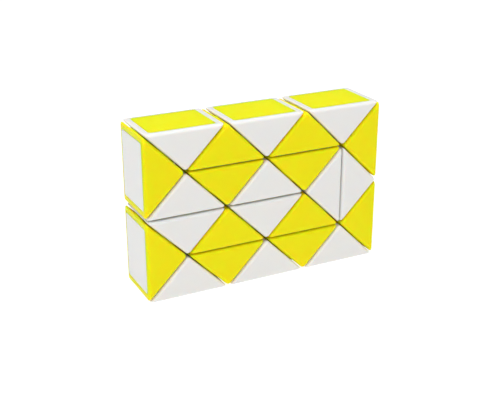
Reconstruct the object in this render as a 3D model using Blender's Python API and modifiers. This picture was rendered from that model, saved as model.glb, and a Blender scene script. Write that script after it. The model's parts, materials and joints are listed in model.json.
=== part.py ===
"""Twisty snake puzzle: 24 hinged plastic wedges, folded into a flat box of three by two squares.

Every wedge is a right-angled prism.  Its two square faces each carry a turning joint at their centre, and its
third, larger face is closed by a snap-in cover of the other colour.  Odd wedges are white and hold two screws with
their springs; even wedges are yellow and hold the two posts that the screws bite into.

A wedge is drawn in its own frame: X along the long edge of its triangle, Y out of the covered face, Z along the
prism.  The origin is the middle of the covered face, which both of the wedge's joint axes pass through.
"""

import math

import bmesh
import bpy
from mathutils import Matrix, Vector

MM = 0.001

# Driving dimensions
WEDGE_COUNT = 24
LEG = 21.0 * MM                 # side of a square joint face, and the depth of the prism
FACE_GAP = 0.4 * MM             # between the faces of two neighbouring wedges
EDGE_ROUND = 1.2 * MM           # how far each moulded edge is rounded back
LEG_WALL = 1.8 * MM             # wall behind a square joint face
SIDE_WALL = 2.2 * MM            # wall behind a triangular face
COVER_END_MARGIN = 3.4 * MM     # shell left beside the cover, along the long edge
COVER_SIDE_MARGIN = 1.8 * MM    # shell left beside the cover, at the triangular faces
COVER_THICKNESS = 1.4 * MM
COVER_CORNER = 0.8 * MM
FIT_GAP = 0.2 * MM              # around the cover, and between pieces that rest on each other

SCREW_RADIUS = 1.0 * MM
SCREW_REACH = 4.8 * MM          # of the screw's tip beyond the joint plane
HEAD_RADIUS = 2.2 * MM
HEAD_HEIGHT = 1.1 * MM
SPRING_RADIUS = 1.9 * MM
SPRING_LENGTH = 2.3 * MM
SCREW_HOLE_RADIUS = 1.5 * MM
POST_RADIUS = 2.6 * MM
POST_BORE_RADIUS = 1.3 * MM
POST_REACH = 5.2 * MM           # of the post's end behind the joint plane
LINK_SIZE = 1.0 * MM

TAB_LENGTH = 8.0 * MM
TAB_THICKNESS = 0.8 * MM
TAB_HEIGHT = 2.2 * MM

ROUND_SIDES = 12
EDGE_SEGMENTS = 2
WELD_DISTANCE = 0.001 * MM

# The fold at each joint, in quarter turns from the straight snake.
FOLDS = (0, 0, 0, 2, 2, 0, 0, 0, 2, 2, 0, 0, 0, 0, 2, 0, 0, 2, 0, 0, 0, 0, 2)
BOX_COLUMNS = 3

# Worked out from the driving dimensions
LONG_EDGE = LEG * math.sqrt(2.0)
SETBACK = FACE_GAP / 2.0
APEX_DEPTH = LONG_EDGE / 2.0
JOINT_OFFSET = LONG_EDGE / 4.0
CAVITY_DEPTH = LEG - 2.0 * SIDE_WALL
COVER_LENGTH = LONG_EDGE - 2.0 * COVER_END_MARGIN
COVER_WIDTH = LEG - 2.0 * COVER_SIDE_MARGIN
POCKET_FLOOR = SETBACK + COVER_THICKNESS + FIT_GAP
WALL_INSIDE = SETBACK + LEG_WALL
SPRING_START = WALL_INSIDE + FIT_GAP
HEAD_START = SPRING_START + SPRING_LENGTH
HEAD_END = HEAD_START + HEAD_HEIGHT
CUT_MARGIN = 2.0 * MM
# A post starts inside its wall, so that the two join.
POST_START = SETBACK + LEG_WALL / 2.0

COLOURS = {
    "white": ((0.80, 0.79, 0.76, 1.0), 0.32, 0.0),
    "yellow": ((0.84, 0.70, 0.012, 1.0), 0.30, 0.0),
    "steel": ((0.56, 0.57, 0.58, 1.0), 0.35, 1.0),
}


def clear_scene():
    for obj in list(bpy.data.objects):
        bpy.data.objects.remove(obj, do_unlink=True)


def new_collection(name):
    collection = bpy.data.collections.new(name)
    bpy.context.scene.collection.children.link(collection)
    return collection


def plastic_or_metal(name):
    colour, roughness, metallic = COLOURS[name]
    material = bpy.data.materials.new(name)
    material.use_nodes = True
    shader = material.node_tree.nodes["Principled BSDF"]
    shader.inputs["Base Color"].default_value = colour
    shader.inputs["Roughness"].default_value = roughness
    shader.inputs["Metallic"].default_value = metallic
    return material


def cutter_object(name, mesh):
    """A helper solid, which is drawn as a wire and never rendered."""
    obj = bpy.data.objects.new(name, mesh)
    obj.hide_render = True
    obj.display_type = "WIRE"
    cutters.objects.link(obj)
    return obj


def evaluated_mesh(obj):
    bpy.context.view_layer.update()
    graph = bpy.context.evaluated_depsgraph_get()
    return bpy.data.meshes.new_from_object(obj.evaluated_get(graph))


def baked(obj, name):
    """The finished mesh of an object with modifiers, which repeated copies can share."""
    mesh = evaluated_mesh(obj)
    mesh.name = name
    mesh.shade_smooth()
    mesh.set_sharp_from_angle(angle=math.radians(40.0))
    return mesh


def extruded_outline(name, points, depth, centre_z=0.0):
    """A solid with a flat outline, extruded along Z."""
    curve = bpy.data.curves.new(name, "CURVE")
    curve.dimensions = "2D"
    curve.fill_mode = "BOTH"
    curve.extrude = depth / 2.0
    spline = curve.splines.new("POLY")
    spline.points.add(len(points) - 1)
    for spline_point, (x, y) in zip(spline.points, points):
        spline_point.co = (x, y, 0.0, 1.0)
    spline.use_cyclic_u = True
    outline = bpy.data.objects.new(name + "_outline", curve)
    cutters.objects.link(outline)
    mesh = evaluated_mesh(outline)
    bpy.data.objects.remove(outline)
    solid = bmesh.new()
    solid.from_mesh(mesh)
    bmesh.ops.remove_doubles(solid, verts=solid.verts, dist=WELD_DISTANCE)
    bmesh.ops.recalc_face_normals(solid, faces=solid.faces)
    bmesh.ops.translate(solid, verts=solid.verts, vec=(0.0, 0.0, centre_z))
    solid.to_mesh(mesh)
    solid.free()
    return cutter_object(name, mesh)


def box(name, size, centre):
    solid = bmesh.new()
    bmesh.ops.create_cube(solid, size=1.0)
    bmesh.ops.scale(solid, verts=solid.verts, vec=size)
    bmesh.ops.translate(solid, verts=solid.verts, vec=centre)
    mesh = bpy.data.meshes.new(name)
    solid.to_mesh(mesh)
    solid.free()
    return cutter_object(name, mesh)


def joint_frame(side):
    """Origin on the joint plane of the square face at +X (side 1) or -X (side -1), Z pointing out of the wedge."""
    outward = Vector((side, -1.0, 0.0)).normalized()
    centre = Vector((side * JOINT_OFFSET, -JOINT_OFFSET, 0.0))
    return Matrix.Translation(centre) @ outward.to_track_quat("Z", "Y").to_matrix().to_4x4()


def turned(name, profile, side):
    """A profile of (radius, height) points, from its top down, turned about the joint axis on one side."""
    drawn = bmesh.new()
    points = [drawn.verts.new((radius, 0.0, height)) for radius, height in profile]
    for first, second in zip(points, points[1:]):
        drawn.edges.new((first, second))
    mesh = bpy.data.meshes.new(name)
    drawn.to_mesh(mesh)
    drawn.free()
    obj = cutter_object(name, mesh)
    obj.matrix_world = joint_frame(side)
    screw = obj.modifiers.new("turn", "SCREW")
    screw.steps = ROUND_SIDES
    screw.render_steps = ROUND_SIDES
    screw.use_merge_vertices = True
    screw.merge_threshold = WELD_DISTANCE
    return obj


def plug(name, radius, bottom, top, side):
    """A plain round bar on the joint axis; heights are measured outwards from the joint plane."""
    solid = bmesh.new()
    bmesh.ops.create_cone(solid, cap_ends=True, segments=ROUND_SIDES, radius1=radius, radius2=radius,
                          depth=top - bottom)
    bmesh.ops.translate(solid, verts=solid.verts, vec=(0.0, 0.0, (top + bottom) / 2.0))
    mesh = bpy.data.meshes.new(name)
    solid.to_mesh(mesh)
    solid.free()
    obj = cutter_object(name, mesh)
    obj.matrix_world = joint_frame(side)
    return obj


def boolean(obj, operation, other):
    modifier = obj.modifiers.new(operation.lower() + "_" + other.name, "BOOLEAN")
    modifier.operation = operation
    modifier.object = other


def triangle(inset):
    """Corners of the wedge's triangle, with all three sides moved inwards."""
    in_radius = LEG * (2.0 - math.sqrt(2.0)) / 2.0
    scale = (in_radius - inset) / in_radius
    corners = [(-APEX_DEPTH, 0.0), (0.0, -APEX_DEPTH), (APEX_DEPTH, 0.0)]
    return [(x * scale, (y + in_radius) * scale - in_radius) for x, y in corners]


def cavity_outline():
    """The room inside the walls, open at the covered face."""
    half_width = APEX_DEPTH - WALL_INSIDE * math.sqrt(2.0)
    return [(-half_width, 0.0), (0.0, -half_width), (half_width, 0.0), (half_width, CUT_MARGIN),
            (-half_width, CUT_MARGIN)]


def shell_mesh(name, has_posts, sides):
    """The moulded wedge, with a joint on each side listed."""
    shell = extruded_outline(name + "_blank", triangle(SETBACK), LEG)
    edges = shell.modifiers.new("rounded_edges", "BEVEL")
    edges.width = EDGE_ROUND
    edges.segments = EDGE_SEGMENTS
    edges.limit_method = "NONE"
    boolean(shell, "DIFFERENCE", extruded_outline(name + "_cavity", cavity_outline(), CAVITY_DEPTH))
    pocket_size = (COVER_LENGTH + 2.0 * FIT_GAP, POCKET_FLOOR + CUT_MARGIN, COVER_WIDTH + 2.0 * FIT_GAP)
    pocket_centre = (0.0, (CUT_MARGIN - POCKET_FLOOR) / 2.0, 0.0)
    boolean(shell, "DIFFERENCE", box(name + "_pocket", pocket_size, pocket_centre))
    if has_posts:
        hole_radius, hole_end = POST_BORE_RADIUS, POST_REACH + CUT_MARGIN / 2.0
        for side in sides:
            boolean(shell, "UNION", plug(f"{name}_post_{side}", POST_RADIUS, -POST_REACH, -POST_START, side))
    else:
        hole_radius, hole_end = SCREW_HOLE_RADIUS, WALL_INSIDE + CUT_MARGIN / 2.0
    for side in sides:
        boolean(shell, "DIFFERENCE", plug(f"{name}_hole_{side}", hole_radius, -hole_end, CUT_MARGIN, side))
    return baked(shell, name)


def cover_mesh():
    """The flush plate with two snap tabs underneath."""
    plate_centre = (0.0, -SETBACK - COVER_THICKNESS / 2.0, 0.0)
    plate = box("cover_plate", (COVER_LENGTH, COVER_THICKNESS, COVER_WIDTH), plate_centre)
    corners = plate.modifiers.new("round_corners", "BEVEL")
    corners.width = COVER_CORNER
    corners.segments = EDGE_SEGMENTS
    corners.limit_method = "WEIGHT"
    weights = plate.data.attributes.new("bevel_weight_edge", "FLOAT", "EDGE")
    for edge in plate.data.edges:
        ends = [plate.data.vertices[index].co for index in edge.vertices]
        weights.data[edge.index].value = float(abs(ends[0].y - ends[1].y) > COVER_THICKNESS / 2.0)
    tab_height = TAB_HEIGHT + COVER_THICKNESS / 2.0
    tab_y = -SETBACK - COVER_THICKNESS / 2.0 - tab_height / 2.0
    tab_z = CAVITY_DEPTH / 2.0 - FIT_GAP - TAB_THICKNESS / 2.0
    for side in (1, -1):
        tab = box(f"cover_tab_{side}", (TAB_LENGTH, tab_height, TAB_THICKNESS), (0.0, tab_y, side * tab_z))
        boolean(plate, "UNION", tab)
    return baked(plate, "cover")


def spring_bolt_profile():
    """A screw that points out of the wedge, with its coil spring and head behind the wall."""
    groove = SPRING_RADIUS * 0.8
    turn = SPRING_LENGTH / 4.0
    profile = [(0.0, SCREW_REACH), (SCREW_RADIUS * 0.6, SCREW_REACH), (SCREW_RADIUS, SCREW_REACH - SCREW_RADIUS)]
    profile += [(SCREW_RADIUS, -SPRING_START), (SPRING_RADIUS, -SPRING_START)]
    profile += [(groove, -SPRING_START - turn), (SPRING_RADIUS, -SPRING_START - 2.0 * turn)]
    profile += [(groove, -SPRING_START - 3.0 * turn), (HEAD_RADIUS, -HEAD_START), (HEAD_RADIUS, -HEAD_END)]
    return profile + [(0.0, -HEAD_END)]


def spring_bolts_mesh(name, sides):
    """The spring bolts of one white wedge as one solid, with a short link between their heads."""
    first = turned(f"{name}_{sides[0]}", spring_bolt_profile(), sides[0])
    body = cutter_object(name + "_body", evaluated_mesh(first))
    body.matrix_world = first.matrix_world
    for side in sides[1:]:
        boolean(body, "UNION", turned(f"{name}_{side}", spring_bolt_profile(), side))
        inward = (LEG / 2.0 - HEAD_END + HEAD_HEIGHT / 2.0) / math.sqrt(2.0)
        link = box(name + "_link", (2.0 * inward, LINK_SIZE, LINK_SIZE), (0.0, -inward, 0.0))
        boolean(body, "UNION", link)
    mesh = baked(body, name)
    mesh.transform(body.matrix_world)
    return mesh


def wedge_frames():
    """World matrix of each wedge, found by walking along the snake from its first wedge."""
    stand_up = Matrix.Rotation(math.radians(90.0), 4, "X")
    first_x = (0.5 - BOX_COLUMNS / 2.0) * LONG_EDGE
    first_z = LONG_EDGE - SETBACK
    frame = Matrix.Translation((first_x, 0.0, first_z)) @ stand_up @ Matrix.Rotation(math.pi, 4, "X")
    step = Matrix.Translation((APEX_DEPTH, -APEX_DEPTH, 0.0)) @ Matrix.Rotation(math.pi, 4, "X")
    joint = joint_frame(1)
    frames = [frame]
    for fold in FOLDS:
        turn = joint @ Matrix.Rotation(fold * math.pi / 2.0, 4, "Z") @ joint.inverted()
        frames.append(frames[-1] @ turn @ step)
    return frames


def add_piece(name, mesh, colour, parent):
    piece = bpy.data.objects.new(name, mesh)
    piece.parent = parent
    snake.objects.link(piece)
    if not mesh.materials:
        mesh.materials.append(None)
    piece.material_slots[0].link = "OBJECT"
    piece.material_slots[0].material = materials[colour]


def build_snake():
    """Each wedge is an empty on its joint axes, which carries the wedge's pieces."""
    both, leading, trailing = (-1, 1), (1,), (-1,)
    shells = {
        "first": shell_mesh("first_shell", False, leading),
        "white": shell_mesh("white_shell", False, both),
        "yellow": shell_mesh("yellow_shell", True, both),
        "last": shell_mesh("last_shell", True, trailing),
    }
    bolts = {1: spring_bolts_mesh("single_bolt", leading), 2: spring_bolts_mesh("double_bolt", both)}
    cover = cover_mesh()
    for number, frame in enumerate(wedge_frames(), start=1):
        is_white = number % 2 == 1
        colour, cover_colour = ("white", "yellow") if is_white else ("yellow", "white")
        shell_kind = {1: "first", WEDGE_COUNT: "last"}.get(number, colour)
        wedge = bpy.data.objects.new(f"wedge_{number:02d}", None)
        wedge.matrix_world = frame
        wedge.empty_display_size = LEG / 4.0
        snake.objects.link(wedge)
        add_piece(f"{colour}_shell_{number:02d}", shells[shell_kind], colour, wedge)
        add_piece(f"{cover_colour}_cover_{number:02d}", cover, cover_colour, wedge)
        if is_white:
            add_piece(f"spring_bolts_{number:02d}", bolts[1 if number == 1 else 2], "steel", wedge)


clear_scene()
snake = new_collection("twisty_snake_puzzle")
cutters = new_collection("cutters")
materials = {name: plastic_or_metal(name) for name in COLOURS}
build_snake()
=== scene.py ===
"""Looks of the twisty snake puzzle: shells, covers, and the screw, spring and washer of every joint.

Shells and covers are drawn in a wedge's own frame: X along the long edge of its triangle, towards the
next wedge, Y out of the covered face, Z along the prism.  The origin is the middle of the covered face,
before the gaps between wedges.  Screws, springs and washers are drawn round the axis of their joint, with
Z pointing out of the white wedge and Z = 0 on the joint plane.
"""

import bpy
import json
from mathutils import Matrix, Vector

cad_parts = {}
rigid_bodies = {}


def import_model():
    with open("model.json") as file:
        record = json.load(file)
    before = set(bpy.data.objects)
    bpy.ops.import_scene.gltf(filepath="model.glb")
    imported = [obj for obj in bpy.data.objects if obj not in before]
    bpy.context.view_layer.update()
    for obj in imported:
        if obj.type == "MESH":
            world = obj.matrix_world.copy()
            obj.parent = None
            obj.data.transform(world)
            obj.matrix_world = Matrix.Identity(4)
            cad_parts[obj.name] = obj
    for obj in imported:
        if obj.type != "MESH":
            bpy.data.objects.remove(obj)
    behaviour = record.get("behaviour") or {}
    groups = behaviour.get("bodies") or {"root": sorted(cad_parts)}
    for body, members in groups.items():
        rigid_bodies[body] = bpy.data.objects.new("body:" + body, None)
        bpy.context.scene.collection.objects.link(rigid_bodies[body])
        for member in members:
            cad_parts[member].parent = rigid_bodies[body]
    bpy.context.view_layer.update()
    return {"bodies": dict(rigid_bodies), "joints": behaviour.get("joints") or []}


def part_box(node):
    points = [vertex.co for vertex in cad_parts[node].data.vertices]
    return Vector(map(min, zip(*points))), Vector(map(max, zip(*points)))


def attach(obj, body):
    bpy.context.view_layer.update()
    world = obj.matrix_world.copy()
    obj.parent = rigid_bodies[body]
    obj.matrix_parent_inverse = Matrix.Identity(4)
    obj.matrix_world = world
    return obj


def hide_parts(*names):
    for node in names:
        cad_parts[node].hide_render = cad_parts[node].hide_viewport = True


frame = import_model()

import json
import math

import bmesh
import bpy
from mathutils import Matrix, Vector

MM = 0.001
WEDGE_COUNT = len(frame["bodies"])

# Sizes of the wedge, as in the CAD
LEG = 21.0 * MM                 # side of a square joint face, and the depth of the prism
SETBACK = 0.2 * MM              # half the gap between two wedges
EDGE_ROUND = 1.2 * MM
LEG_WALL = 1.8 * MM             # wall behind a square joint face
SIDE_WALL = 2.2 * MM            # wall behind a triangular face
COVER_END_MARGIN = 3.4 * MM     # shell left beside the cover, along the long edge
COVER_SIDE_MARGIN = 1.8 * MM    # shell left beside the cover, at the triangular faces
COVER_THICKNESS = 1.4 * MM
COVER_CORNER = 0.8 * MM
POST_RADIUS = 2.6 * MM
POST_REACH = 5.2 * MM           # of the post's end behind the joint plane
SCREW_HOLE_RADIUS = 1.5 * MM
FIT_GAP = 0.2 * MM
TAB_LENGTH = 8.0 * MM
TAB_THICKNESS = 0.8 * MM
TAB_HEIGHT = 2.2 * MM

LONG_EDGE = LEG * math.sqrt(2.0)
APEX_DEPTH = LONG_EDGE / 2.0
JOINT_OFFSET = LONG_EDGE / 4.0
WALL_INSIDE = SETBACK + LEG_WALL
CAVITY_DEPTH = LEG - 2.0 * SIDE_WALL
COVER_LENGTH = LONG_EDGE - 2.0 * COVER_END_MARGIN
COVER_WIDTH = LEG - 2.0 * COVER_SIDE_MARGIN
COVER_UNDERSIDE = SETBACK + COVER_THICKNESS
CUT_MARGIN = 2.0 * MM

# Finer detail than the CAD has
SEAM = 0.04 * MM                # between a cover and its shell
COVER_EDGE = 0.07 * MM
TAB_LIP = 0.12 * MM
RIB_THICKNESS = 0.9 * MM
RIB_HEIGHT = 0.8 * MM
TURNTABLE_RADIUS = 9.1 * MM     # the raised disc that turns against the neighbour
TURNTABLE_HEIGHT = 0.3 * MM
TRACK_INNER = 3.4 * MM          # the ring-shaped track that the click ridges run in
TRACK_OUTER = 6.2 * MM
TRACK_DEPTH = 0.35 * MM
RIDGE_WIDTH = 1.1 * MM
NOTCH_LENGTH = 1.6 * MM
CLICK_ANGLES = (45.0, 135.0, 225.0, 315.0)
POST_BORE_RADIUS = 0.95 * MM    # tight, so that the screw's thread bites

# One joint's screw, washer and spring
SPRING_START = WALL_INSIDE + FIT_GAP
SPRING_WIRE = 0.4 * MM
SPRING_RADIUS = 1.75 * MM       # to the middle of its wire
SPRING_TURNS = 3
SPRING_LENGTH = 2.1 * MM
SPRING_PLAY = 0.03 * MM         # left before the washer
WASHER_START = SPRING_START + SPRING_LENGTH
WASHER_THICKNESS = 0.3 * MM
WASHER_RADIUS = 2.1 * MM
HEAD_START = WASHER_START + WASHER_THICKNESS
HEAD_RADIUS = 2.0 * MM
HEAD_HEIGHT = 1.2 * MM
HEAD_DOME_END = 75.0            # degrees of the head's rounding, up to its flat middle
SCREW_RADIUS = 1.0 * MM
SCREW_REACH = 4.8 * MM          # of the screw's tip beyond the joint plane
THREAD_DEPTH = 0.16 * MM
THREAD_PITCH = 0.7 * MM
THREAD_TURNS = 6
DRIVE_LENGTH = 2.2 * MM
DRIVE_WIDTH = 0.5 * MM
DRIVE_DEPTH = 0.7 * MM

# How finely the shapes are drawn
EDGE_STEPS = 5                  # faces across each rounded edge of a shell
CORNER_STEPS = 6                # faces across each upright corner of a cover
COVER_EDGE_STEPS = 2
ROUND_SIDES = 32                # of posts, screws and washers
HOLE_SIDES = 24
TRACK_SIDES = 48
TURNTABLE_SIDES = 96
DOME_STEPS = 5
SPRING_STEPS = 20               # points in each turn
SHARP_ANGLE = math.radians(40.0)
WELD_DISTANCE = 0.0005 * MM

helpers = []


# ---------------------------------------------------------------- shapes

def helper(name, mesh):
    """An object that only exists while a template is being made."""
    obj = bpy.data.objects.new(name, mesh)
    bpy.context.scene.collection.objects.link(obj)
    helpers.append(obj)
    return obj


def clear_helpers():
    for obj in helpers:
        bpy.data.objects.remove(obj, do_unlink=True)
    helpers.clear()


def evaluated_mesh(obj):
    bpy.context.view_layer.update()
    graph = bpy.context.evaluated_depsgraph_get()
    return bpy.data.meshes.new_from_object(obj.evaluated_get(graph))


def finished(obj, name):
    """The object's final mesh, smooth across its rounded edges and flat on its faces."""
    mesh = evaluated_mesh(obj)
    mesh.transform(obj.matrix_world)
    mesh.shade_smooth()
    mesh.set_sharp_from_angle(angle=SHARP_ANGLE)
    shaded = helper(name + "_shaded", mesh)
    normals = shaded.modifiers.new("weighted_normals", "WEIGHTED_NORMAL")
    normals.keep_sharp = True
    final = evaluated_mesh(shaded)
    final.name = name
    clear_helpers()
    return final


def extruded_outline(name, points, depth):
    """A solid with a flat outline, extruded along Z."""
    solid = bmesh.new()
    low = [solid.verts.new((x, y, -depth / 2.0)) for x, y in points]
    bottom = solid.faces.new(low)
    grown = bmesh.ops.extrude_face_region(solid, geom=[bottom])
    raised = [item for item in grown["geom"] if isinstance(item, bmesh.types.BMVert)]
    bmesh.ops.translate(solid, verts=raised, vec=(0.0, 0.0, depth))
    bmesh.ops.recalc_face_normals(solid, faces=solid.faces)
    mesh = bpy.data.meshes.new(name)
    solid.to_mesh(mesh)
    solid.free()
    return helper(name, mesh)


def box(name, size, centre):
    solid = bmesh.new()
    bmesh.ops.create_cube(solid, size=1.0)
    bmesh.ops.scale(solid, verts=solid.verts, vec=size)
    bmesh.ops.translate(solid, verts=solid.verts, vec=centre)
    mesh = bpy.data.meshes.new(name)
    solid.to_mesh(mesh)
    solid.free()
    return helper(name, mesh)


def joint_frame(side):
    """Frame on the joint plane at +X (side 1) or -X (side -1), with Z pointing out of the wedge."""
    outward = Vector((side, -1.0, 0.0)).normalized()
    centre = Vector((side * JOINT_OFFSET, -JOINT_OFFSET, 0.0))
    return Matrix.Translation(centre) @ outward.to_track_quat("Z", "Y").to_matrix().to_4x4()


def round_bar(name, radius, bottom, top, sides=ROUND_SIDES):
    """A bar along Z."""
    solid = bmesh.new()
    bmesh.ops.create_cone(solid, cap_ends=True, segments=sides, radius1=radius, radius2=radius,
                          depth=top - bottom)
    bmesh.ops.translate(solid, verts=solid.verts, vec=(0.0, 0.0, (top + bottom) / 2.0))
    mesh = bpy.data.meshes.new(name)
    solid.to_mesh(mesh)
    solid.free()
    return helper(name, mesh)


def on_joint(obj, side):
    obj.matrix_world = joint_frame(side) @ obj.matrix_world
    return obj


def boolean(obj, operation, other):
    modifier = obj.modifiers.new(operation.lower(), "BOOLEAN")
    modifier.operation = operation
    modifier.object = other


def bevel(obj, width, segments, is_picked=None):
    """Rounds all edges, or only those that the function picks by their two ends."""
    modifier = obj.modifiers.new("bevel", "BEVEL")
    modifier.width = width
    modifier.segments = segments
    modifier.limit_method = "NONE"
    if is_picked:
        modifier.limit_method = "WEIGHT"
        layer = obj.data.attributes.new("bevel_weight_edge", "FLOAT", "EDGE")
        for edge in obj.data.edges:
            ends = [obj.data.vertices[index].co for index in edge.vertices]
            layer.data[edge.index].value = float(is_picked(*ends))


def is_upright(first, second):
    """True for the corner edges of a cover or its pocket."""
    return abs(first.y - second.y) > COVER_THICKNESS / 2.0


def is_on_outside(first, second):
    """True for the edges round a cover's outer face."""
    return min(first.y, second.y) > -SETBACK - COVER_THICKNESS / 2.0


def triangle():
    """Corners of the wedge's triangle, with its sides moved inwards by the setback."""
    apex = APEX_DEPTH - SETBACK * math.sqrt(2.0)
    half_length = apex - SETBACK
    return [(-half_length, -SETBACK), (0.0, -apex), (half_length, -SETBACK)]


def cavity_outline():
    half_width = APEX_DEPTH - WALL_INSIDE * math.sqrt(2.0)
    return [(-half_width, 0.0), (0.0, -half_width), (half_width, 0.0), (half_width, CUT_MARGIN),
            (-half_width, CUT_MARGIN)]


def track_cutter(with_ridges):
    """A shallow ring in a square face.  Four ridges are left standing in it where the wedge is to click."""
    ring = round_bar("track", TRACK_OUTER, -SETBACK - TRACK_DEPTH, CUT_MARGIN, TRACK_SIDES)
    core = round_bar("track_core", TRACK_INNER, -CUT_MARGIN, 2.0 * CUT_MARGIN, TRACK_SIDES)
    boolean(ring, "DIFFERENCE", core)
    if with_ridges:
        for turn in CLICK_ANGLES[:2]:
            bar = box("ridge_bar", (2.5 * TRACK_OUTER, RIDGE_WIDTH, 4.0 * CUT_MARGIN), (0.0, 0.0, 0.0))
            bar.matrix_world = Matrix.Rotation(math.radians(turn), 4, "Z")
            boolean(ring, "DIFFERENCE", bar)
    return helper("track_cutter", evaluated_mesh(ring))


def notch_cutter():
    """Four shallow radial notches outside the track."""
    notches = []
    for turn in CLICK_ANGLES:
        notch = box("notch", (NOTCH_LENGTH, RIDGE_WIDTH, 2.0 * TRACK_DEPTH),
                    (TRACK_OUTER + NOTCH_LENGTH, 0.0, -SETBACK))
        notch.data.transform(Matrix.Rotation(math.radians(turn), 4, "Z"))
        notches.append(notch)
    for notch in notches[1:]:
        boolean(notches[0], "UNION", notch)
    return helper("notch_cutter", evaluated_mesh(notches[0]))


def cover_pocket():
    """The recess that a cover snaps into, with the seam left round the cover."""
    floor = COVER_UNDERSIDE + SEAM
    room = FIT_GAP + 2.0 * SEAM
    pocket = box("pocket", (COVER_LENGTH + room, floor + CUT_MARGIN, COVER_WIDTH + room),
                 (0.0, (CUT_MARGIN - floor) / 2.0, 0.0))
    bevel(pocket, COVER_CORNER, CORNER_STEPS, is_upright)
    return pocket


def add_post(shell, side):
    """The post for a neighbour's screw, and the raised disc on the face outside it."""
    root = -WALL_INSIDE / 2.0
    post = round_bar("post", POST_RADIUS, -POST_REACH, root)
    disc = round_bar("turntable", TURNTABLE_RADIUS, root, TURNTABLE_HEIGHT - SETBACK, TURNTABLE_SIDES)
    for solid in (post, disc):
        boolean(shell, "UNION", on_joint(solid, side))


def cut_joint(shell, has_posts, side):
    """The hole for the screw and the track round it, and on a wedge without posts the notches."""
    radius, inner_end = (POST_BORE_RADIUS, POST_REACH) if has_posts else (SCREW_HOLE_RADIUS, WALL_INSIDE)
    hole = round_bar("screw_hole", radius, -inner_end - CUT_MARGIN / 2.0, CUT_MARGIN, HOLE_SIDES)
    cutters = [hole, track_cutter(has_posts)]
    if not has_posts:
        cutters.append(notch_cutter())
    for cutter in cutters:
        boolean(shell, "DIFFERENCE", on_joint(cutter, side))


def shell_template(name, has_posts, sides):
    """The moulded wedge, with a joint on each side listed."""
    shell = extruded_outline(name, triangle(), LEG)
    bevel(shell, EDGE_ROUND, EDGE_STEPS)
    boolean(shell, "DIFFERENCE", extruded_outline("cavity", cavity_outline(), CAVITY_DEPTH))
    boolean(shell, "DIFFERENCE", cover_pocket())
    if has_posts:
        for side in sides:
            add_post(shell, side)
    for side in sides:
        cut_joint(shell, has_posts, side)
    return finished(shell, name)


def cover_template():
    """The flush plate, with two snap tabs and a stiffening rib underneath."""
    middle = -SETBACK - COVER_THICKNESS / 2.0
    plate = box("plate", (COVER_LENGTH + FIT_GAP, COVER_THICKNESS, COVER_WIDTH + FIT_GAP),
                (0.0, middle, 0.0))
    bevel(plate, COVER_CORNER, CORNER_STEPS, is_upright)
    cover = helper("cover_plate", evaluated_mesh(plate))
    bevel(cover, COVER_EDGE, COVER_EDGE_STEPS, is_on_outside)
    tab_height = TAB_HEIGHT + COVER_THICKNESS / 2.0
    tab_z = CAVITY_DEPTH / 2.0 - FIT_GAP - TAB_THICKNESS / 2.0
    lip_y = -COVER_UNDERSIDE - TAB_HEIGHT + 2.0 * TAB_LIP
    lip_z = tab_z + TAB_THICKNESS / 2.0
    for side in (1, -1):
        tab = box("tab", (TAB_LENGTH, tab_height, TAB_THICKNESS),
                  (0.0, middle - tab_height / 2.0, side * tab_z))
        lip = box("lip", (TAB_LENGTH * 0.8, 3.0 * TAB_LIP, 2.0 * TAB_LIP), (0.0, lip_y, side * lip_z))
        boolean(cover, "UNION", tab)
        boolean(cover, "UNION", lip)
    rib = box("rib", (RIB_THICKNESS, 2.0 * RIB_HEIGHT, CAVITY_DEPTH * 0.6), (0.0, -COVER_UNDERSIDE, 0.0))
    boolean(cover, "UNION", rib)
    return finished(cover, "snap_cover")


def turned_mesh(name, profile):
    """A profile of (radius, height) points, from its top down, turned about Z."""
    drawn = bmesh.new()
    points = [drawn.verts.new((radius, 0.0, height)) for radius, height in profile]
    for first, second in zip(points, points[1:]):
        drawn.edges.new((first, second))
    mesh = bpy.data.meshes.new(name)
    drawn.to_mesh(mesh)
    drawn.free()
    obj = helper(name, mesh)
    turning = obj.modifiers.new("turn", "SCREW")
    turning.steps = turning.render_steps = ROUND_SIDES
    turning.use_merge_vertices = True
    turning.merge_threshold = WELD_DISTANCE
    return obj


def thread_profile():
    """The screw's outline from its tip to the end of its thread, whose turns are drawn as rings."""
    root = SCREW_RADIUS - THREAD_DEPTH
    top = SCREW_REACH - SCREW_RADIUS
    profile = [(0.0, SCREW_REACH), (SCREW_RADIUS * 0.25, SCREW_REACH - SCREW_RADIUS * 0.1), (root, top)]
    for turn in range(THREAD_TURNS):
        height = top - THREAD_PITCH * turn
        profile += [(SCREW_RADIUS, height - THREAD_PITCH * 0.45), (root, height - THREAD_PITCH * 0.9)]
    return profile + [(SCREW_RADIUS, top - THREAD_PITCH * (THREAD_TURNS + 0.5))]


def head_profile():
    """The screw's outline round its head: a short rim and a dome with a flat middle."""
    rim = HEAD_HEIGHT * 0.15
    dome = HEAD_HEIGHT - rim
    profile = [(SCREW_RADIUS, -HEAD_START), (HEAD_RADIUS * 0.96, -HEAD_START),
               (HEAD_RADIUS, -HEAD_START - rim)]
    for step in range(1, DOME_STEPS + 1):
        angle = math.radians(HEAD_DOME_END * step / DOME_STEPS)
        rise = dome * math.sin(angle) / math.sin(math.radians(HEAD_DOME_END))
        profile.append((HEAD_RADIUS * math.cos(angle), -HEAD_START - rim - rise))
    return profile + [(0.0, -HEAD_START - HEAD_HEIGHT)]


def screw_template():
    """A thread-forming screw with a rounded head and a cross drive."""
    screw = turned_mesh("screw", thread_profile() + head_profile())
    for length, width in ((DRIVE_LENGTH, DRIVE_WIDTH), (DRIVE_WIDTH, DRIVE_LENGTH)):
        drive = box("drive", (length, width, 2.0 * DRIVE_DEPTH), (0.0, 0.0, -HEAD_START - HEAD_HEIGHT))
        boolean(screw, "DIFFERENCE", drive)
    return finished(screw, "joint_screw")


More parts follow.
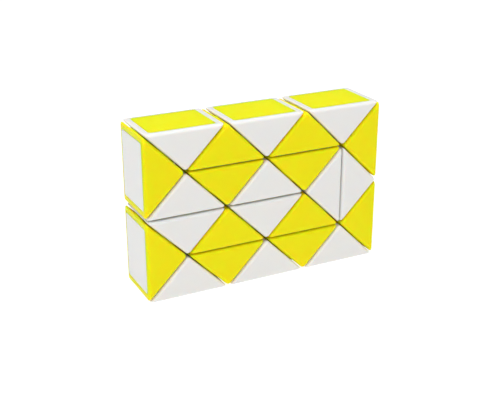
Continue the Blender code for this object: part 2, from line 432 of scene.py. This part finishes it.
def washer_template():
    inner, outer, chamfer = SCREW_RADIUS * 1.1, WASHER_RADIUS, WASHER_THICKNESS / 5.0
    profile = [(inner, -WASHER_START), (outer - chamfer, -WASHER_START), (outer, -WASHER_START - chamfer),
               (outer, -HEAD_START + chamfer), (outer - chamfer, -HEAD_START), (inner, -HEAD_START),
               (inner, -WASHER_START)]
    return finished(turned_mesh("washer", profile), "joint_washer")


def spring_template():
    """A coil spring between the wall and the washer."""
    start = -SPRING_START - SPRING_WIRE / 2.0
    travel = SPRING_LENGTH - SPRING_WIRE - SPRING_PLAY
    curve = bpy.data.curves.new("spring", "CURVE")
    curve.dimensions = "3D"
    curve.bevel_depth = SPRING_WIRE / 2.0
    curve.bevel_resolution = 2
    curve.use_fill_caps = True
    spline = curve.splines.new("POLY")
    last = SPRING_TURNS * SPRING_STEPS
    spline.points.add(last)
    for index, point in enumerate(spline.points):
        share = index / last
        angle = 2.0 * math.pi * SPRING_TURNS * share
        x, y = SPRING_RADIUS * math.cos(angle), SPRING_RADIUS * math.sin(angle)
        point.co = (x, y, start - travel * share, 1.0)
    return finished(helper("spring", curve), "joint_spring")


# ---------------------------------------------------------------- materials

def node(tree, kind, links=(), **values):
    """A shader node, with its properties or inputs set by name and its links as (input, output) pairs."""
    made = tree.nodes.new(kind)
    for key, value in values.items():
        if hasattr(made, key):
            setattr(made, key, value)
        else:
            made.inputs[key.replace("_", " ")].default_value = value
    for socket, output in links:
        tree.links.new(output, made.inputs[socket])
    return made


def moulded_plastic(name, colour, deeper_colour, roughness, ior, specular, glow, glow_reach):
    """Injection-moulded plastic: faint flow marks in its colour and gloss, and a fine even grain."""
    material = bpy.data.materials.new(name)
    material.use_nodes = True
    tree = material.node_tree
    shader = tree.nodes["Principled BSDF"]
    place = node(tree, "ShaderNodeTexCoord").outputs["Object"]
    flow = node(tree, "ShaderNodeTexNoise", [("Vector", place)],
                Scale=130.0, Detail=3.0, Roughness=0.55, Distortion=0.6)
    grain = node(tree, "ShaderNodeTexNoise", [("Vector", place)], Scale=2600.0, Detail=2.0)
    tint = node(tree, "ShaderNodeMix", [("Factor", flow.outputs["Fac"])], data_type="RGBA")
    tint.inputs["A"].default_value = (*colour, 1.0)
    tint.inputs["B"].default_value = (*deeper_colour, 1.0)
    gloss = node(tree, "ShaderNodeMapRange", [("Value", flow.outputs["Fac"])])
    gloss.inputs["From Min"].default_value = 0.3
    gloss.inputs["From Max"].default_value = 0.7
    gloss.inputs["To Min"].default_value = roughness * 0.85
    gloss.inputs["To Max"].default_value = roughness * 1.15
    bump = node(tree, "ShaderNodeBump", [("Height", grain.outputs["Fac"])],
                Strength=0.06, Distance=0.02 * MM)
    tree.links.new(tint.outputs["Result"], shader.inputs["Base Color"])
    tree.links.new(gloss.outputs["Result"], shader.inputs["Roughness"])
    tree.links.new(bump.outputs["Normal"], shader.inputs["Normal"])
    shader.inputs["IOR"].default_value = ior
    shader.inputs["Specular IOR Level"].default_value = specular
    shader.inputs["Subsurface Weight"].default_value = glow
    shader.inputs["Subsurface Radius"].default_value = glow_reach
    shader.inputs["Subsurface Scale"].default_value = 2.0 * MM
    return material


def plated_steel():
    """Bright zinc-plated steel, slightly uneven in colour and gloss."""
    material = bpy.data.materials.new("plated_steel")
    material.use_nodes = True
    tree = material.node_tree
    shader = tree.nodes["Principled BSDF"]
    place = node(tree, "ShaderNodeTexCoord").outputs["Object"]
    patches = node(tree, "ShaderNodeTexNoise", [("Vector", place)], Scale=900.0, Detail=3.0)
    gloss = node(tree, "ShaderNodeMapRange", [("Value", patches.outputs["Fac"])])
    gloss.inputs["To Min"].default_value = 0.22
    gloss.inputs["To Max"].default_value = 0.42
    tint = node(tree, "ShaderNodeMix", [("Factor", patches.outputs["Fac"])], data_type="RGBA")
    tint.inputs["A"].default_value = (0.60, 0.61, 0.63, 1.0)
    tint.inputs["B"].default_value = (0.50, 0.50, 0.50, 1.0)
    tree.links.new(tint.outputs["Result"], shader.inputs["Base Color"])
    tree.links.new(gloss.outputs["Result"], shader.inputs["Roughness"])
    shader.inputs["Metallic"].default_value = 1.0
    return material


def pale_floor_material():
    """A matt floor that glows a little, so that it stays pale up to the horizon."""
    material = bpy.data.materials.new("pale_floor")
    material.use_nodes = True
    shader = material.node_tree.nodes["Principled BSDF"]
    shader.inputs["Base Color"].default_value = (0.3, 0.3, 0.3, 1.0)
    shader.inputs["Roughness"].default_value = 0.9
    shader.inputs["Specular IOR Level"].default_value = 0.0
    shader.inputs["Emission Color"].default_value = (1.0, 1.0, 1.0, 1.0)
    shader.inputs["Emission Strength"].default_value = 0.85
    return material


# ---------------------------------------------------------------- placing

def colours_of(number):
    """Colours of a wedge's shell and of its cover."""
    return ("white", "yellow") if number % 2 else ("yellow", "white")


def joint_point(number):
    """Where the joint between a wedge and the next one is."""
    name = f"turn_{number:02d}_{number + 1:02d}"
    return Vector(next(joint["pos_m"] for joint in frame["joints"] if joint["name"] == name))


def wedge_matrix(number):
    """The wedge's own frame at rest, read off its CAD shell, its CAD cover and its joints."""
    shell_colour, cover_colour = colours_of(number)
    shell_low, shell_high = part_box(f"{shell_colour}_shell_{number:02d}")
    cover_low, cover_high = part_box(f"{cover_colour}_cover_{number:02d}")
    shell_centre = (shell_low + shell_high) / 2.0
    offset = (cover_low + cover_high) / 2.0 - shell_centre
    axis = max(range(3), key=lambda k: abs(offset[k]))
    normal = Vector((0.0, 0.0, 0.0))
    normal[axis] = math.copysign(1.0, offset[axis])
    origin = shell_centre.copy()
    origin[axis] = (shell_high if normal[axis] > 0.0 else shell_low)[axis] + normal[axis] * SETBACK
    after = joint_point(number) if number < WEDGE_COUNT else origin
    before = joint_point(number - 1) if number > 1 else origin
    along = Vector((0.0, 1.0, 0.0)).cross(normal)
    if (after - before).dot(along) < 0.0:
        along = -along
    depth = along.cross(normal)
    return Matrix.Translation(origin) @ Matrix((along, normal, depth)).transposed().to_4x4()


def add_piece(name, mesh, material, matrix, body, slot_name, *nodes):
    piece = bpy.data.objects.new(name, mesh)
    bpy.context.scene.collection.objects.link(piece)
    if not mesh.materials:
        mesh.materials.append(None)
    piece.material_slots[0].link = "OBJECT"
    piece.material_slots[0].material = material
    piece.matrix_world = matrix
    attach(piece, body)
    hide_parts(*nodes)


def add_joint_pieces(number, matrix, screw, spring, washer):
    """One screw, spring and washer for each joint of a white wedge.

    The screw bites into the yellow neighbour, so the screw and its washer turn with that wedge.  The
    spring stays with the white one.
    """
    for side in (-1, 1):
        neighbour = number + side
        if not 1 <= neighbour <= WEDGE_COUNT:
            continue
        place = matrix @ joint_frame(side)
        label = f"{min(number, neighbour):02d}_{max(number, neighbour):02d}"
        for kind, mesh, wedge in (("screw", screw, neighbour), ("spring", spring, number),
                                  ("washer", washer, neighbour)):
            add_piece(f"joint_{kind}_{label}", mesh, materials["steel"], place, f"wedge_{wedge:02d}",
                      "steel", f"spring_bolts_{number:02d}")


def build_puzzle():
    both, leading, trailing = (-1, 1), (1,), (-1,)
    shells = {
        "first": shell_template("first_shell", False, leading),
        "white": shell_template("white_wedge_shell", False, both),
        "yellow": shell_template("yellow_wedge_shell", True, both),
        "last": shell_template("last_shell", True, trailing),
    }
    cover = cover_template()
    screw, washer, spring = screw_template(), washer_template(), spring_template()
    for number in range(1, WEDGE_COUNT + 1):
        body = f"wedge_{number:02d}"
        matrix = wedge_matrix(number)
        shell_colour, cover_colour = colours_of(number)
        kind = {1: "first", WEDGE_COUNT: "last"}.get(number, shell_colour)
        add_piece(f"moulded_shell_{number:02d}", shells[kind], materials[shell_colour], matrix, body,
                  shell_colour, f"{shell_colour}_shell_{number:02d}")
        add_piece(f"snap_cover_{number:02d}", cover, materials[cover_colour], matrix, body,
                  cover_colour, f"{cover_colour}_cover_{number:02d}")
        if shell_colour == "white":
            add_joint_pieces(number, matrix, screw, spring, washer)


# ---------------------------------------------------------------- studio

CAMERA_AZIMUTH = -26.8
CAMERA_ELEVATION = 22.0
CAMERA_DISTANCE = 326.0 * MM
CAMERA_TARGET = Vector((-1.56, 0.0, 26.05)) * MM
CAMERA_LENS = 66.8              # for the sensor width below
SENSOR_WIDTH = 36.0
LIGHT_DISTANCE = 1.2
FLOOR_SIZE = 12.0
WORLD_STRENGTH = 0.2


def direction(azimuth, elevation):
    """Unit vector towards a viewer at that azimuth and elevation, in degrees."""
    a, e = math.radians(azimuth), math.radians(elevation)
    return Vector((math.sin(a) * math.cos(e), -math.cos(a) * math.cos(e), math.sin(e)))


def add_camera():
    data = bpy.data.cameras.new("camera")
    data.sensor_width = SENSOR_WIDTH
    data.lens = CAMERA_LENS
    data.clip_start, data.clip_end = 0.01, 50.0
    camera = bpy.data.objects.new("camera", data)
    bpy.context.scene.collection.objects.link(camera)
    towards = direction(CAMERA_AZIMUTH, CAMERA_ELEVATION)
    camera.location = CAMERA_TARGET + towards * CAMERA_DISTANCE
    camera.rotation_euler = (-towards).to_track_quat("-Z", "Y").to_euler()
    bpy.context.scene.camera = camera


def add_soft_box(name, azimuth, elevation, size, power):
    """A square studio light that points at the puzzle."""
    data = bpy.data.lights.new(name, "AREA")
    data.size = size
    data.energy = power
    light = bpy.data.objects.new(name, data)
    bpy.context.scene.collection.objects.link(light)
    towards = direction(azimuth, elevation)
    light.location = CAMERA_TARGET + towards * LIGHT_DISTANCE
    light.rotation_euler = (-towards).to_track_quat("-Z", "Y").to_euler()


def add_studio():
    bpy.ops.mesh.primitive_plane_add(size=FLOOR_SIZE)
    floor = bpy.context.object
    floor.name = "studio_floor"
    floor.data.materials.append(pale_floor_material())
    world = bpy.data.worlds.new("studio")
    world.use_nodes = True
    background = world.node_tree.nodes["Background"]
    background.inputs["Color"].default_value = (1.0, 1.0, 1.0, 1.0)
    background.inputs["Strength"].default_value = WORLD_STRENGTH
    scene = bpy.context.scene
    scene.world = world
    scene.view_settings.view_transform = "Standard"
    add_soft_box("top_light", azimuth=-10.0, elevation=80.0, size=1.0, power=15.0)
    add_soft_box("left_light", azimuth=-80.0, elevation=30.0, size=0.9, power=2.6)
    add_soft_box("front_light", azimuth=-26.0, elevation=21.0, size=0.3, power=2.1)


materials = {
    "white": moulded_plastic(
        "white_plastic", colour=(0.765, 0.76, 0.74), deeper_colour=(0.785, 0.775, 0.76), roughness=0.34,
        ior=1.45, specular=0.3, glow=0.6, glow_reach=(1.0, 0.7, 0.5)),
    "yellow": moulded_plastic(
        "yellow_plastic", colour=(0.985, 0.765, 0.008), deeper_colour=(0.96, 0.73, 0.007), roughness=0.36,
        ior=1.35, specular=0.1, glow=1.0, glow_reach=(2.0, 0.55, 0.06)),
    "steel": plated_steel(),
}
build_puzzle()
add_studio()
add_camera()
